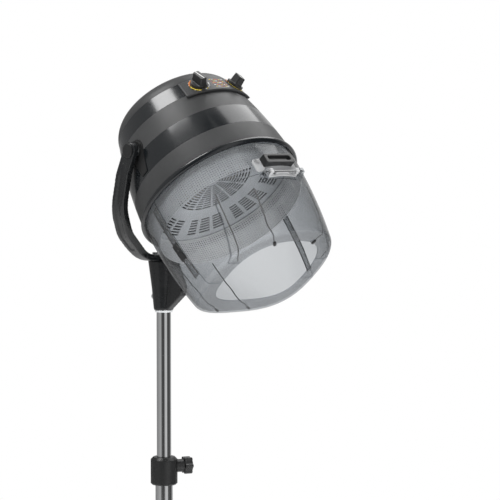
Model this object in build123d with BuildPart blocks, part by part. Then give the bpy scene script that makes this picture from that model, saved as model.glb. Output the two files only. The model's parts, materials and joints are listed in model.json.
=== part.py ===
from build123d import *
import os
from math import cos, sin, radians, pi

# Hood hair dryer: a tilting dryer hood in a fork, on a telescopic pole with a five-star caster base.
# Millimetres and degrees. +Z is up, the origin is on the pole's axis at floor level,
# and the client's side, where the hood opens, is towards -Y.

# ---------------------------------------------------------------- driving dimensions

# Star base and casters
leg_count = 5
first_leg_angle = -131
base_radius = 306            # pole axis to caster stems
hub_radius = 38
hub_bottom = 72
hub_top = 148
leg_root_width = 46
leg_tip_width = 36
leg_tip_bottom = 64
leg_tip_top = 86
wheel_radius = 25
wheel_width = 13
caster_trail = 20            # stem axis to wheel axle
stem_radius = 5.42
axle_radius = 4
caster_headings = (20, 150, 75, 230, 310)

# Pole
lower_tube_radius = 17.5
upper_tube_radius = 14.5
tube_wall = 1.5
lower_tube_foot = 96
lower_tube_top = 650
upper_tube_foot = 262
upper_tube_top = 1076
running_gap = 0.06           # radial clearance of turning and sliding fits
seat_gap = 0.02              # radial clearance of parts that stay put
collar_radius = 27
collar_bottom = 634
collar_top = 690
clamp_angle = -22            # heading of the clamp knob

# Fork that carries the hood
socket_bottom = 982
socket_top = 1085.4
socket_bottom_radius = 20
socket_top_radius = 31
arm_thickness = 13
arm_width = 32
arm_pivot_x = 161            # middle of the arm's thickness at the pivot
arm_shoulder_z = 1262
arm_elbow_x = 147
arm_elbow_z = 1192
arm_hip_x = 113
arm_hip_z = 1142
saddle_half_width = 50
saddle_z = 1092
pivot_y = -96
pivot_z = 1306
pivot_radius = 6
bolt_radius = 3
bolt_spread = 22             # yoke bolts from the pole's axis

# Hood, measured from its rim: heights run along its axis towards the dome
hood_tilt = 41               # dome axis leans back from vertical by this angle
pivot_height = 113.5         # rim to tilt axis
casing_foot = 7
casing_seams = (50, 100, 150, 187)
casing_wall = 2.6
dome_height = 222
seam_gap = 0.15
bead_radius = 167
bead_inner_radius = 160.4
control_height = 166
control_azimuth = 19
control_lean = 18            # knob axes lean towards the dome by this angle
knob_radius = 17

# Visor below the rim: depths run along the axis away from the dome
visor_wall = 2.8
visor_depth = 200
visor_rim_radius = 159.6
door_half_width = 126
door_reach = 45              # the door wraps round to this distance in front of the hood's axis
door_top = 74
notch_half_width = 38.5
notch_bottom = 90
hinge_depth = 82
hinge_front = 167
hinge_pin_radius = 2
door_gap = 0.6
shell_split = -15            # the visor's rear shell starts this far in front of the hood's axis
flange_width = 12
flange_height = 1.6

# Inside the hood
diffuser_edge = (150, 8)     # radius and height above the rim
diffuser_middle = (92, 23.8)
diffuser_inlet = (22, 32.5)
diffuser_wall = 2.2
heater_level = 60

os.makedirs("parts", exist_ok=True)


# ---------------------------------------------------------------- shared frames and curves

side = Vector(1, 0, 0)
dome_axis = Vector(0, sin(radians(hood_tilt)), cos(radians(hood_tilt)))
front = side.cross(dome_axis)
pivot = Vector(0, pivot_y, pivot_z)
rim_centre = pivot - dome_axis * pivot_height

hood_section = Plane(origin=rim_centre, x_dir=side, z_dir=front)
hood_axis = Axis(rim_centre, dome_axis)


def hood_level(height):
    """Plane across the hood at a height above the rim; its local -y is the hood's front."""
    return Plane(origin=rim_centre + dome_axis * height, x_dir=side, z_dir=dome_axis)


def hood_front_plane(distance):
    """Plane facing the hood's front; local x is sideways and local y runs towards the dome."""
    return Plane(origin=rim_centre + front * distance, x_dir=side, z_dir=front)


def hood_side_plane(distance):
    """Plane facing along +X; local x is the hood's back and local y runs towards the dome."""
    return Plane(origin=rim_centre + side * distance, x_dir=-front, z_dir=side)


def on_casing(azimuth, height, radius, lean):
    """Plane on the hood's outside, azimuth from the front towards +X, with its normal outwards."""
    outward = front * cos(radians(azimuth)) + side * sin(radians(azimuth))
    across = side * cos(radians(azimuth)) - front * sin(radians(azimuth))
    normal = outward * cos(radians(lean)) + dome_axis * sin(radians(lean))
    return Plane(origin=rim_centre + dome_axis * height + outward * radius, x_dir=across, z_dir=normal)


def upright_plane(origin, heading):
    """Vertical plane whose local x points along a heading and whose local y points up."""
    direction = Vector(cos(radians(heading)), sin(radians(heading)), 0)
    return Plane(origin=origin, x_dir=direction, z_dir=direction.cross(Vector(0, 0, 1)))


def crosswise_plane(origin, heading):
    """Plane whose normal is a level heading and whose local y points up."""
    direction = Vector(cos(radians(heading)), sin(radians(heading)), 0)
    return Plane(origin=origin, x_dir=Vector(0, 0, 1).cross(direction), z_dir=direction)


def casing_radius(height):
    """Outer radius of the hood's casing: a gentle barrel curve from the rim to the dome."""
    return 162.5 - 0.062 * height - 0.00062 * height**2


def visor_outline(half_width, front_reach, back_reach, front_squareness, back_squareness, inset=0):
    """Points round the visor: an oval in front that grows squarer towards the back of the bottom."""
    point_count = 32
    points = []
    for step in range(point_count):
        turn = 2 * pi * step / point_count
        faces_front = cos(turn) > 0
        reach = front_reach if faces_front else back_reach
        power = 2 / (front_squareness if faces_front else back_squareness)
        across = abs(sin(turn)) ** power * (1 if sin(turn) > 0 else -1)
        along = abs(cos(turn)) ** power * (1 if faces_front else -1)
        points.append((across * (half_width - inset), -along * (reach - inset)))
    return points


# Depth below the rim, half width, reach to the front and to the back, squareness in front and behind
visor_sections = (
    (-5, visor_rim_radius, visor_rim_radius, visor_rim_radius, 2.0, 2.0),
    (60, 158.5, 158.5, 155, 2.0, 2.1),
    (125, 152, 152, 141, 2.05, 2.4),
    (visor_depth, 138, 138, 117, 2.15, 3.1),
)
visor_opening = (103, 105, 76, 2.4, 3.2)


# ---------------------------------------------------------------- star base

with BuildPart() as leg:
    with BuildSketch(Plane.XZ):
        with BuildLine():
            leg_back = ThreePointArc((hub_radius - 12, 124), (170, 113), (base_radius + 17, leg_tip_top))
            leg_end = Line(leg_back @ 1, (base_radius + 17, leg_tip_bottom))
            leg_foot = Line(leg_end @ 1, (base_radius - 20, leg_tip_bottom))
            leg_belly = ThreePointArc(leg_foot @ 1, (170, 86), (hub_radius - 12, 84))
            Line(leg_belly @ 1, leg_back @ 0)
        make_face()
    extrude(amount=leg_root_width, both=True)
    with BuildSketch(Plane.XY):
        with BuildLine():
            Polyline(
                (hub_radius - 12, leg_root_width / 2),
                (base_radius, leg_tip_width / 2),
                (base_radius, -leg_tip_width / 2),
                (hub_radius - 12, -leg_root_width / 2),
                close=True,
            )
        make_face()
        with Locations((base_radius, 0)):
            Circle(leg_tip_width / 2)
    extrude(amount=hub_top, mode=Mode.INTERSECT)

with BuildPart() as star_base:
    with BuildSketch(Plane.XZ):
        with BuildLine():
            Polyline(
                (0, hub_bottom),
                (hub_radius - 4, hub_bottom),
                (hub_radius, hub_bottom + 4),
                (hub_radius, 128),
                (lower_tube_radius + 8, hub_top),
                (0, hub_top),
                close=True,
            )
        make_face()
    revolve(axis=Axis.Z)
    with PolarLocations(0, leg_count, start_angle=first_leg_angle):
        add(leg.part)
    with BuildSketch(Plane.XY.offset(lower_tube_foot)):
        Circle(lower_tube_radius + seat_gap)
    extrude(amount=hub_top, mode=Mode.SUBTRACT)
    with BuildSketch(Plane.XY.offset(leg_tip_bottom - 1)):
        with PolarLocations(base_radius, leg_count, start_angle=first_leg_angle):
            Circle(stem_radius + running_gap)
    extrude(amount=18, mode=Mode.SUBTRACT)
    with BuildSketch(Plane.XY):
        Circle(6.1)
    extrude(amount=lower_tube_foot, mode=Mode.SUBTRACT)
star_base.part.label = "star_base"
export_step(star_base.part, "parts/star_base.step")

with BuildPart() as hub_cover:
    with BuildSketch(Plane.XZ):
        with BuildLine():
            Polyline(
                (lower_tube_radius + seat_gap, hub_top + 0.1),
                (lower_tube_radius + 8, hub_top + 0.1),
                (lower_tube_radius + 7, hub_top + 8),
                (lower_tube_radius + 2.5, hub_top + 14),
                (lower_tube_radius + seat_gap, hub_top + 14),
                close=True,
            )
        make_face()
    revolve(axis=Axis.Z)
hub_cover.part.label = "hub_cover"
export_step(hub_cover.part, "parts/hub_cover.step")

with BuildPart() as base_bolt:
    with BuildSketch(Plane.XY.offset(hub_bottom - 8)):
        RegularPolygon(radius=10, side_count=6)
    extrude(amount=7.9)
    with BuildSketch(Plane.XY.offset(hub_bottom - 0.1)):
        Circle(6)
    extrude(amount=lower_tube_foot - hub_bottom)
base_bolt.part.label = "base_bolt"
export_step(base_bolt.part, "parts/base_bolt.step")

# ---------------------------------------------------------------- casters

for number in range(leg_count):
    leg_angle = first_leg_angle + number * 360 / leg_count
    stem_foot = Vector(base_radius * cos(radians(leg_angle)), base_radius * sin(radians(leg_angle)), 0)
    fork_plane = upright_plane(stem_foot, caster_headings[number])
    axle_axis = Axis((fork_plane * Pos(caster_trail, wheel_radius, 0)).position, fork_plane.z_dir)
    stem_plane = Plane.XY.offset(47).shift_origin((stem_foot.X, stem_foot.Y, 47))

    with BuildPart() as caster_fork:
        with BuildSketch(fork_plane):
            with Locations((caster_trail, wheel_radius)):
                Circle(wheel_radius + 4.5)
                Circle(wheel_radius + 1.5, mode=Mode.SUBTRACT)
            with Locations((caster_trail - 2, -20)):
                Rectangle(90, 96, mode=Mode.SUBTRACT)
        extrude(amount=wheel_width + 4, both=True)
        with BuildSketch(fork_plane):
            with BuildLine():
                Polyline(
                    (-10, 40), (-10, 58), (caster_trail + 4, 53), (caster_trail + 9, 22),
                    (caster_trail, 17), (caster_trail - 8, 20), close=True,
                )
            make_face()
        extrude(amount=3, both=True)
        with BuildSketch(stem_plane.offset(-2)):
            Circle(11)
        extrude(amount=16)
        with BuildSketch(stem_plane):
            Circle(stem_radius + seat_gap)
        extrude(amount=40, mode=Mode.SUBTRACT)
        with BuildSketch(fork_plane):
            with Locations((caster_trail, wheel_radius)):
                Circle(wheel_radius + 1.5)
        extrude(amount=wheel_width + 6, both=True, mode=Mode.SUBTRACT)
        with BuildSketch(fork_plane):
            with BuildLine():
                Polyline(
                    (6, 42), (14, 52), (caster_trail + 8, 52), (caster_trail + 9, 22),
                    (caster_trail, 17), (caster_trail - 8, 20), close=True,
                )
            make_face()
            with Locations((caster_trail, wheel_radius)):
                Circle(axle_radius + seat_gap, mode=Mode.SUBTRACT)
        extrude(amount=3, both=True)
    caster_fork.part.label = f"caster_{number + 1}_fork"
    export_step(caster_fork.part, f"parts/caster_{number + 1}_fork.step")

    with BuildPart() as caster_pins:
        with BuildSketch(stem_plane.offset(0.1)):
            Circle(stem_radius)
        extrude(amount=33)
        with BuildSketch(stem_plane.offset(14.2)):
            Circle(9)
        extrude(amount=2.4)
        with BuildSketch(fork_plane):
            with Locations((caster_trail, wheel_radius)):
                Circle(axle_radius)
        extrude(amount=wheel_width + 3, both=True)
    caster_pins.part.label = f"caster_{number + 1}_pins"
    export_step(caster_pins.part, f"parts/caster_{number + 1}_pins.step")

    with BuildPart() as caster_wheels:
        for face_side in (1, -1):
            with BuildSketch(fork_plane.offset(face_side * 3.6)):
                with Locations((caster_trail, wheel_radius)):
                    Circle(wheel_radius)
                    Circle(axle_radius + running_gap, mode=Mode.SUBTRACT)
            extrude(amount=face_side * wheel_width)
        tread_edges = caster_wheels.edges().filter_by(lambda edge: abs(edge.radius - wheel_radius) < 0.1
                                                      if edge.geom_type == GeomType.CIRCLE else False)
        fillet(tread_edges, radius=2.5)
    caster_wheels.part.label = f"caster_{number + 1}_wheels"
    export_step(caster_wheels.part, f"parts/caster_{number + 1}_wheels.step")

# ---------------------------------------------------------------- pole

with BuildPart() as lower_tube:
    with BuildSketch(Plane.XY.offset(lower_tube_foot + 0.1)):
        Circle(lower_tube_radius)
        Circle(lower_tube_radius - tube_wall, mode=Mode.SUBTRACT)
    extrude(amount=lower_tube_top - lower_tube_foot - 0.1)
lower_tube.part.label = "lower_tube"
export_step(lower_tube.part, "parts/lower_tube.step")

with BuildPart() as guide_bush:
    with BuildSketch(Plane.XY.offset(lower_tube_top - 60)):
        Circle(lower_tube_radius - tube_wall - seat_gap)
        Circle(upper_tube_radius + running_gap, mode=Mode.SUBTRACT)
    extrude(amount=60)
guide_bush.part.label = "guide_bush"
export_step(guide_bush.part, "parts/guide_bush.step")

with BuildPart() as upper_tube:
    with BuildSketch(Plane.XY.offset(upper_tube_foot)):
        Circle(upper_tube_radius)
        Circle(upper_tube_radius - tube_wall, mode=Mode.SUBTRACT)
    extrude(amount=upper_tube_top - upper_tube_foot)
upper_tube.part.label = "upper_tube"
export_step(upper_tube.part, "parts/upper_tube.step")

with BuildPart() as slider_plug:
    with BuildSketch(Plane.XY.offset(upper_tube_foot - 14)):
        Circle(lower_tube_radius - tube_wall - running_gap)
    extrude(amount=13.9)
    with BuildSketch(Plane.XY.offset(upper_tube_foot - 0.1)):
        Circle(upper_tube_radius - tube_wall - seat_gap)
    extrude(amount=25)
slider_plug.part.label = "slider_plug"
export_step(slider_plug.part, "parts/slider_plug.step")

clamp_plane = crosswise_plane((0, 0, (collar_bottom + collar_top) / 2 + 8), clamp_angle)

with BuildPart() as clamp_collar:
    with BuildSketch(Plane.XY.offset(collar_bottom)):
        Circle(collar_radius)
    extrude(amount=collar_top - collar_bottom)
    chamfer(clamp_collar.edges().group_by(Axis.Z)[-1], length=5)
    chamfer(clamp_collar.edges().group_by(Axis.Z)[0], length=3)
    with BuildSketch(clamp_plane):
        Circle(13)
    extrude(amount=40)
    with BuildSketch(Plane.XY.offset(collar_bottom)):
        Circle(lower_tube_radius + seat_gap)
    extrude(amount=lower_tube_top + 0.2 - collar_bottom, mode=Mode.SUBTRACT)
    with BuildSketch(Plane.XY.offset(collar_bottom)):
        Circle(upper_tube_radius + running_gap)
    extrude(amount=collar_top - collar_bottom, mode=Mode.SUBTRACT)
    with BuildSketch(clamp_plane):
        Circle(4 + running_gap)
    extrude(amount=50, mode=Mode.SUBTRACT)
    with BuildSketch(crosswise_plane((0, 0, collar_top), clamp_angle + 180)):
        Rectangle(2.5, 2 * (collar_top - lower_tube_top - 4))
    extrude(amount=collar_radius + 5, mode=Mode.SUBTRACT)
clamp_collar.part.label = "clamp_collar"
export_step(clamp_collar.part, "parts/clamp_collar.step")

with BuildPart() as clamp_knob:
    with BuildSketch(clamp_plane.offset(upper_tube_radius + 0.4)):
        Circle(4)
    extrude(amount=28)
    with BuildSketch(clamp_plane.offset(40.5)):
        Circle(15)
        with PolarLocations(14, 6):
            Circle(4.5)
    extrude(amount=17)
    fillet(clamp_knob.faces().sort_by(Axis(clamp_plane.origin, clamp_plane.z_dir))[-1].edges(), radius=2)
clamp_knob.part.label = "clamp_knob"
export_step(clamp_knob.part, "parts/clamp_knob.step")

# ---------------------------------------------------------------- fork and socket

bush_radius = upper_tube_radius + 3

with BuildPart() as pole_socket:
    with BuildSketch(Plane.XZ):
        with BuildLine():
            Polyline(
                (0, socket_bottom),
                (socket_bottom_radius - 4, socket_bottom),
                (socket_bottom_radius, socket_bottom + 6),
                (socket_bottom_radius + 4, socket_bottom + 50),
                (socket_top_radius, socket_top),
                (0, socket_top),
                close=True,
            )
        make_face()
    revolve(axis=Axis.Z)
    with BuildSketch(Plane.YZ):
        with BuildLine():
            Polyline(
                (0, socket_bottom + 6),
                (-20, socket_bottom + 6),
                (-60, socket_bottom + 36),
                (-64, socket_bottom + 46),
                (-62, socket_bottom + 60),
                (-38, socket_top),
                (0, socket_top),
                close=True,
            )
        make_face()
    extrude(amount=8, both=True)
    with BuildSketch(Plane.XY.offset(socket_bottom)):
        Circle(bush_radius + seat_gap)
    extrude(amount=upper_tube_top + 1 - socket_bottom, mode=Mode.SUBTRACT)
    with BuildSketch(crosswise_plane((0, 0, socket_bottom + 30), 90)):
        Circle(3 + seat_gap)
    extrude(amount=40, mode=Mode.SUBTRACT)
    with BuildSketch(Plane.XY.offset(socket_top - 18)):
        with Locations((-bolt_spread, 0), (bolt_spread, 0)):
            Circle(bolt_radius + seat_gap)
    extrude(amount=20, mode=Mode.SUBTRACT)
pole_socket.part.label = "pole_socket"
export_step(pole_socket.part, "parts/pole_socket.step")

with BuildPart() as swivel_bush:
    with BuildSketch(Plane.XY.offset(socket_bottom)):
        Circle(bush_radius)
        Circle(upper_tube_radius + running_gap, mode=Mode.SUBTRACT)
    extrude(amount=upper_tube_top - socket_bottom)
swivel_bush.part.label = "swivel_bush"
export_step(swivel_bush.part, "parts/swivel_bush.step")

with BuildPart() as socket_screw:
    with BuildSketch(crosswise_plane((0, bush_radius + 0.1, socket_bottom + 30), 90)):
        Circle(3)
    extrude(amount=8)
    with BuildSketch(crosswise_plane((0, bush_radius + 8, socket_bottom + 30), 90)):
        Circle(6)
        RegularPolygon(radius=2.6, side_count=6, mode=Mode.SUBTRACT)
    extrude(amount=6)
socket_screw.part.label = "socket_screw"
export_step(socket_screw.part, "parts/socket_screw.step")


def fork_front_view(width):
    """Fork seen from the front, drawn into the current sketch as a band of the given width."""
    half = (
        (arm_pivot_x, pivot_z + arm_width / 2),
        (arm_pivot_x, arm_shoulder_z),
        (arm_elbow_x, arm_elbow_z),
        (arm_hip_x, arm_hip_z),
        (saddle_half_width, saddle_z),
    )
    bends = (80, 120, 90, 60)
    left_side = [(-x, z) for x, z in half]
    with BuildLine() as band:
        FilletPolyline(*left_side, *reversed(half), radius=(*bends, *reversed(bends)))
    trace(band.line, line_width=width)


def fork_side_view(width, top_z):
    """Fork seen from the side, leaning forward from the saddle to the pivots."""
    lean = pivot_y / (pivot_z - saddle_z - 14)
    with BuildLine() as band:
        bend_z = saddle_z + 14
        FilletPolyline((0, saddle_z - 20), (0, bend_z), ((top_z - bend_z) * lean, top_z), radius=40)
    trace(band.line, line_width=width)


with BuildPart() as arm_channel:
    with BuildSketch(Plane.XZ):
        fork_front_view(arm_thickness + 4)
    extrude(amount=200, both=True)
    with BuildSketch(Plane.XZ):
        fork_front_view(arm_thickness - 5)
    extrude(amount=210, both=True, mode=Mode.SUBTRACT)
    with BuildSketch(Plane.YZ):
        fork_side_view(arm_width * 0.42, pivot_z - 26)
    extrude(amount=200, both=True, mode=Mode.INTERSECT)
    with BuildSketch(Plane.XY.offset(saddle_z - 60)):
        Rectangle(2 * saddle_half_width + 60, 200)
    extrude(amount=90, mode=Mode.SUBTRACT)

with BuildPart() as yoke:
    with BuildSketch(Plane.XZ):
        fork_front_view(arm_thickness)
    extrude(amount=200, both=True)
    with BuildSketch(Plane.YZ):
        fork_side_view(arm_width, pivot_z)
        with Locations((pivot_y, pivot_z)):
            Circle(arm_width / 2)
    extrude(amount=200, both=True, mode=Mode.INTERSECT)
    add(arm_channel.part, mode=Mode.SUBTRACT)
    with BuildSketch(Plane.YZ):
        with Locations((pivot_y, pivot_z)):
            Circle(pivot_radius + seat_gap)
    extrude(amount=200, both=True, mode=Mode.SUBTRACT)
    with BuildSketch(Plane.XY.offset(saddle_z - 30)):
        with Locations((-bolt_spread, 0), (bolt_spread, 0)):
            Circle(bolt_radius + seat_gap)
    extrude(amount=60, mode=Mode.SUBTRACT)
yoke.part.label = "yoke"
export_step(yoke.part, "parts/yoke.step")

with BuildPart() as yoke_bolts:
    with BuildSketch(Plane.XY.offset(socket_top - 17)):
        with Locations((-bolt_spread, 0), (bolt_spread, 0)):
            Circle(bolt_radius)
    extrude(amount=17 + arm_thickness + 0.2)
    with BuildSketch(Plane.XY.offset(saddle_z + arm_thickness / 2 + 0.1)):
        with Locations((-bolt_spread, 0), (bolt_spread, 0)):
            Circle(5.5)
    extrude(amount=4)
yoke_bolts.part.label = "yoke_bolts"
export_step(yoke_bolts.part, "parts/yoke_bolts.step")

# ---------------------------------------------------------------- pivots

arm_inner_x = arm_pivot_x - arm_thickness / 2
arm_outer_x = arm_pivot_x + arm_thickness / 2
pad_face_x = arm_inner_x - 2.2
washer_radius = 12
pad_boss_radius = 18

with BuildPart() as pivot_bolts:
    for direction in (1, -1):
        with BuildSketch(Plane.YZ.offset(direction * (pad_face_x - 14))):
            with Locations((pivot_y, pivot_z)):
                Circle(pivot_radius)
        extrude(amount=direction * (arm_outer_x - pad_face_x + 14))
pivot_bolts.part.label = "pivot_bolts"
export_step(pivot_bolts.part, "parts/pivot_bolts.step")

with BuildPart() as pivot_caps:
    for direction in (1, -1):
        with BuildSketch(Plane.YZ.offset(direction * (arm_outer_x + 0.1))):
            with Locations((pivot_y, pivot_z)):
                Circle(arm_width / 2 - 2)
        extrude(amount=direction * 4)
    fillet(pivot_caps.faces().sort_by(Axis.X)[-1].edges(), radius=2)
    fillet(pivot_caps.faces().sort_by(Axis.X)[0].edges(), radius=2)
pivot_caps.part.label = "pivot_caps"
export_step(pivot_caps.part, "parts/pivot_caps.step")

with BuildPart() as friction_washers:
    for direction in (1, -1):
        with BuildSketch(Plane.YZ.offset(direction * (pad_face_x + 0.1))):
            with Locations((pivot_y, pivot_z)):
                Circle(washer_radius)
                Circle(pivot_radius + running_gap, mode=Mode.SUBTRACT)
        extrude(amount=direction * 2)
friction_washers.part.label = "friction_washers"
export_step(friction_washers.part, "parts/friction_washers.step")

# ---------------------------------------------------------------- casing of the hood


def casing_solid(foot, top, grow=0.0):
    """Solid of the casing's outside between two heights, used to fit pieces against the shell."""
    with BuildPart() as solid:
        with BuildSketch(hood_section):
            with BuildLine():
                middle = (foot + top) / 2
                outside = ThreePointArc(
                    (casing_radius(foot) + grow, foot),
                    (casing_radius(middle) + grow, middle),
                    (casing_radius(top) + grow, top),
                )
                Polyline(outside @ 1, (0, top), (0, foot), outside @ 0)
            make_face()
        revolve(axis=hood_axis)
    return solid.part


def casing_ring(foot, top):
    """One ring of the casing, a thin revolved band between two heights."""
    foot = foot + seam_gap
    middle = (foot + top) / 2
    with BuildPart() as ring:
        with BuildSketch(hood_section):
            with BuildLine():
                outside = ThreePointArc(
                    (casing_radius(foot), foot), (casing_radius(middle), middle), (casing_radius(top), top)
                )
                inside = ThreePointArc(
                    (casing_radius(top) - casing_wall, top),
                    (casing_radius(middle) - casing_wall, middle),
                    (casing_radius(foot) - casing_wall, foot),
                )
                Line(outside @ 1, inside @ 0)
                Line(inside @ 1, outside @ 0)
            make_face()
        revolve(axis=hood_axis)
    return ring.part


with BuildPart() as pivot_pads:
    with BuildSketch(hood_side_plane(0)):
        with Locations((0, pivot_height)):
            Circle(21)
        with BuildLine():
            Polyline((-20, pivot_height - 6), (20, pivot_height - 6), (9, 56), (-9, 56), close=True)
        make_face()
    extrude(amount=200, both=True)
    add(casing_solid(40, 150, grow=1.6), mode=Mode.INTERSECT)
    for direction in (1, -1):
        with BuildSketch(hood_side_plane(direction * 130)):
            with Locations((0, pivot_height)):
                Circle(pad_boss_radius)
        extrude(amount=direction * (pad_face_x - 130))
        with BuildSketch(hood_side_plane(direction * pad_face_x)):
            with Locations((0, pivot_height)):
                Circle(pad_boss_radius)
        extrude(amount=direction * 20, mode=Mode.SUBTRACT)
    add(casing_solid(40, 150, grow=0.1), mode=Mode.SUBTRACT)
    with BuildSketch(hood_side_plane(0)):
        with Locations((0, pivot_height)):
            Circle(pivot_radius + running_gap)
    extrude(amount=200, both=True, mode=Mode.SUBTRACT)
pivot_pads.part.label = "pivot_pads"
export_step(pivot_pads.part, "parts/pivot_pads.step")

with BuildPart() as lower_casing:
    add(casing_ring(casing_foot, casing_seams[0]))
lower_casing.part.label = "lower_casing"
export_step(lower_casing.part, "parts/lower_casing.step")

with BuildPart() as lower_gloss_band:
    add(casing_ring(casing_seams[0], casing_seams[1]))
lower_gloss_band.part.label = "lower_gloss_band"
export_step(lower_gloss_band.part, "parts/lower_gloss_band.step")

with BuildPart() as middle_casing:
    add(casing_ring(casing_seams[1], casing_seams[2]))
    with BuildSketch(hood_side_plane(0)):
        with Locations((0, pivot_height)):
            Circle(pivot_radius + 1)
    extrude(amount=200, both=True, mode=Mode.SUBTRACT)
middle_casing.part.label = "middle_casing"
export_step(middle_casing.part, "parts/middle_casing.step")

# Spindles and cable gland pass through the upper band
knob_radial = casing_radius(control_height)
gland_plane = on_casing(180, 168, casing_radius(168), 17)
left_knob_plane = on_casing(-control_azimuth, control_height, knob_radial + 4.5, control_lean)
right_knob_plane = on_casing(control_azimuth, control_height, knob_radial + 4.5, control_lean)

with BuildPart() as upper_gloss_band:
    add(casing_ring(casing_seams[2], casing_seams[3]))
    for knob_plane in (left_knob_plane, right_knob_plane):
        with BuildSketch(knob_plane.offset(-20)):
            Circle(5)
        extrude(amount=40, mode=Mode.SUBTRACT)
    with BuildSketch(gland_plane.offset(-20)):
        Circle(7.2)
    extrude(amount=40, mode=Mode.SUBTRACT)
upper_gloss_band.part.label = "upper_gloss_band"
export_step(upper_gloss_band.part, "parts/upper_gloss_band.step")

with BuildPart() as dome_cap:
    cap_foot = casing_seams[3] + seam_gap
    cap_radius = casing_radius(cap_foot)
    crown_foot = 213
    with BuildSketch(hood_section):
        with BuildLine():
            skirt = ThreePointArc(
                (cap_radius, cap_foot), (cap_radius - 3.5, cap_foot + 12), (cap_radius - 14, crown_foot)
            )
            crown = Bezier(skirt @ 1, (70, dome_height), (0, dome_height))
            Line(crown @ 1, (0, dome_height - casing_wall))
            crown_inside = Bezier(
                (0, dome_height - casing_wall),
                (69, dome_height - casing_wall),
                (cap_radius - 16, crown_foot - casing_wall),
            )
            skirt_inside = ThreePointArc(
                crown_inside @ 1, (cap_radius - 6.3, cap_foot + 11), (cap_radius - casing_wall, cap_foot)
            )
            Line(skirt_inside @ 1, skirt @ 0)
        make_face()
    revolve(axis=hood_axis)
dome_cap.part.label = "dome_cap"
export_step(dome_cap.part, "parts/dome_cap.step")

with BuildPart() as rim_bead:
    with BuildSketch(hood_section):
        with BuildLine():
            Polyline((bead_inner_radius, casing_foot), (bead_inner_radius, -5), (bead_radius - 3, -5))
            ThreePointArc((bead_radius - 3, -5), (bead_radius, 0), (bead_radius - 4, casing_foot))
            Line((bead_radius - 4, casing_foot), (bead_inner_radius, casing_foot))
        make_face()
    revolve(axis=hood_axis)
rim_bead.part.label = "rim_bead"
export_step(rim_bead.part, "parts/rim_bead.step")

# ---------------------------------------------------------------- inside the hood

with BuildPart() as mesh_ring:
    with BuildSketch(hood_section):
        with BuildLine():
            Polyline(
                (150, 6), (155.5, 6), (155.5, 4), (151.4, 4), (151.4, -50), (150, -50), close=True,
            )
        make_face()
    revolve(axis=hood_axis)
mesh_ring.part.label = "mesh_ring"
export_step(mesh_ring.part, "parts/mesh_ring.step")

def raised(point, amount):
    """Point of a profile moved up the hood's axis."""
    return (point[0], point[1] + amount)


with BuildPart() as diffuser:
    with BuildSketch(hood_section):
        with BuildLine():
            bowl = ThreePointArc(diffuser_edge, diffuser_middle, diffuser_inlet)
            Line(bowl @ 1, raised(diffuser_inlet, diffuser_wall))
            bowl_back = ThreePointArc(
                raised(diffuser_inlet, diffuser_wall), raised(diffuser_middle, diffuser_wall), (152, 10)
            )
            Polyline(bowl_back @ 1, (158.5, 10), (158.5, 8), bowl @ 0)
        make_face()
    revolve(axis=hood_axis)
diffuser.part.label = "diffuser"
export_step(diffuser.part, "parts/diffuser.step")

with BuildPart() as fan:
    with BuildSketch(hood_level(164)):
        Circle(9)
        Circle(3 + running_gap, mode=Mode.SUBTRACT)
    extrude(amount=14)
    with BuildSketch(hood_level(176)):
        Circle(54)
        Circle(3 + running_gap, mode=Mode.SUBTRACT)
    extrude(amount=2)
    with BuildSketch(hood_level(162)):
        with PolarLocations(40, 12):
            Rectangle(26, 1.8, rotation=28)
    extrude(amount=14.5)
fan.part.label = "fan"
export_step(fan.part, "parts/fan.step")

with BuildPart() as motor:
    with BuildSketch(hood_level(184.6)):
        Circle(28)
    extrude(amount=28)
    with BuildSketch(hood_level(163)):
        Circle(3)
    extrude(amount=22)
motor.part.label = "motor"
export_step(motor.part, "parts/motor.step")

with BuildPart() as motor_plate:
    with BuildSketch(hood_level(182)):
        Circle(62)
        Circle(6, mode=Mode.SUBTRACT)
    extrude(amount=2.5)
    with BuildSketch(hood_level(184)):
        with PolarLocations(50, 3, start_angle=90):
            Circle(5)
    extrude(amount=32.5)
motor_plate.part.label = "motor_plate"
export_step(motor_plate.part, "parts/motor_plate.step")

with BuildPart() as heater_frame:
    with BuildSketch(hood_level(heater_level)):
        Circle(92)
        Circle(64, mode=Mode.SUBTRACT)
    extrude(amount=2)
    with BuildSketch(hood_level(heater_level + 2)):
        with PolarLocations(78, 6):
            Rectangle(24, 3)
    extrude(amount=5)
    with BuildSketch(hood_level(15)):
        with PolarLocations(86, 6, start_angle=30):
            Circle(3)
    extrude(amount=heater_level - 15)
    # The six posts end on the back of the diffuser
    with BuildSketch(hood_section):
        with BuildLine():
            Polyline((150, 0), (0, 0), (0, diffuser_inlet[1] + diffuser_wall), bowl_back @ 0)
            ThreePointArc(bowl_back @ 0, raised(diffuser_middle, diffuser_wall), bowl_back @ 1)
            Line(bowl_back @ 1, (150, 0))
        make_face()
    revolve(axis=hood_axis, mode=Mode.SUBTRACT)
heater_frame.part.label = "heater_frame"
export_step(heater_frame.part, "parts/heater_frame.step")

with BuildPart() as heater_coil:
    with BuildSketch(hood_section):
        with Locations((78, heater_level + 11.2)):
            Circle(4)
    revolve(axis=hood_axis)
heater_coil.part.label = "heater_coil"
export_step(heater_coil.part, "parts/heater_coil.step")

# ---------------------------------------------------------------- controls


def sector(half_angle):
    """Wedge of the hood around its front, used to cut a ring down to a panel."""
    reach = 260
    with BuildPart() as wedge:
        with BuildSketch(hood_level(100)):
            with BuildLine():
                Polyline(
                    (0, 0),
                    (-reach * sin(radians(half_angle)), -reach * cos(radians(half_angle))),
                    (reach * sin(radians(half_angle)), -reach * cos(radians(half_angle))),
                    close=True,
                )
            make_face()
        extrude(amount=120)
    return wedge.part


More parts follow.
